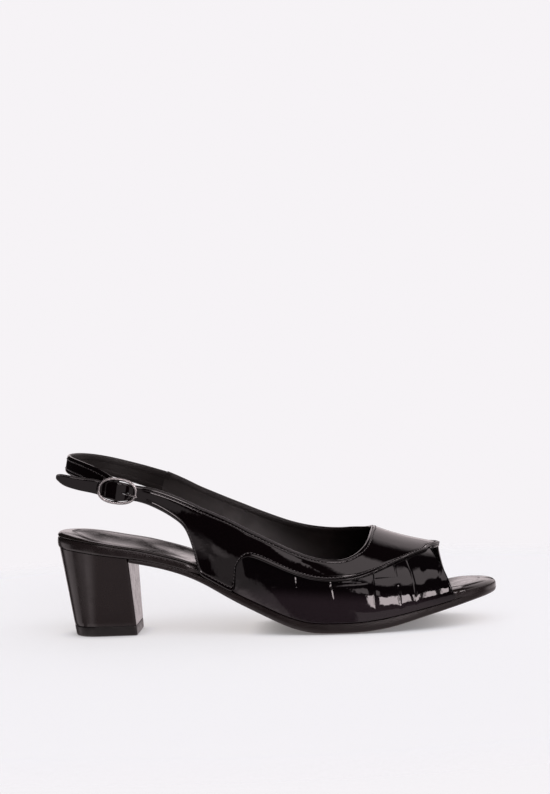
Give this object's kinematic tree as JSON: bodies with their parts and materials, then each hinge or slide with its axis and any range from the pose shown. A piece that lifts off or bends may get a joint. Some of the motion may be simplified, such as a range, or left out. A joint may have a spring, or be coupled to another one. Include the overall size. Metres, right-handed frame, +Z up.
{
  "type": "block heel sandal",
  "caption": "Right slingback sandal with a block heel and a peep toe: hollow embossed upper under a smooth collar, buckled heel strap, padded insole and a thin sole with arch and toe spring.",
  "frame": {"origin": "on the floor, under the middle of the shoe's bounding box", "axes": "+X from the heel to the toe, +Y to the inner side of the foot, +Z up from the floor"},
  "size_m": [0.243, 0.0828, 0.1009],
  "materials": {
    "sole_edge": "satin",
    "wrapped_rim": "satin",
    "sock": "satin",
    "heel_cover": "semi-gloss",
    "top_piece": "matte",
    "embossed_patent": "high gloss, embossed in large scales",
    "smooth_patent": "high gloss",
    "strap_patent": "gloss outside, satin lining inside",
    "buckle_metal": "polished"
  },
  "bodies": {
    "root": {"outsole": "sole_edge", "insole_board": "wrapped_rim", "sock_lining": "sock", "heel_block": "heel_cover", "heel_top_piece": "top_piece", "upper": "embossed_patent", "vamp_overlay": "smooth_patent", "slingback_strap": "strap_patent", "buckle_frame": "buckle_metal", "buckle_prong": "buckle_metal"}
  },
  "joints": []
}
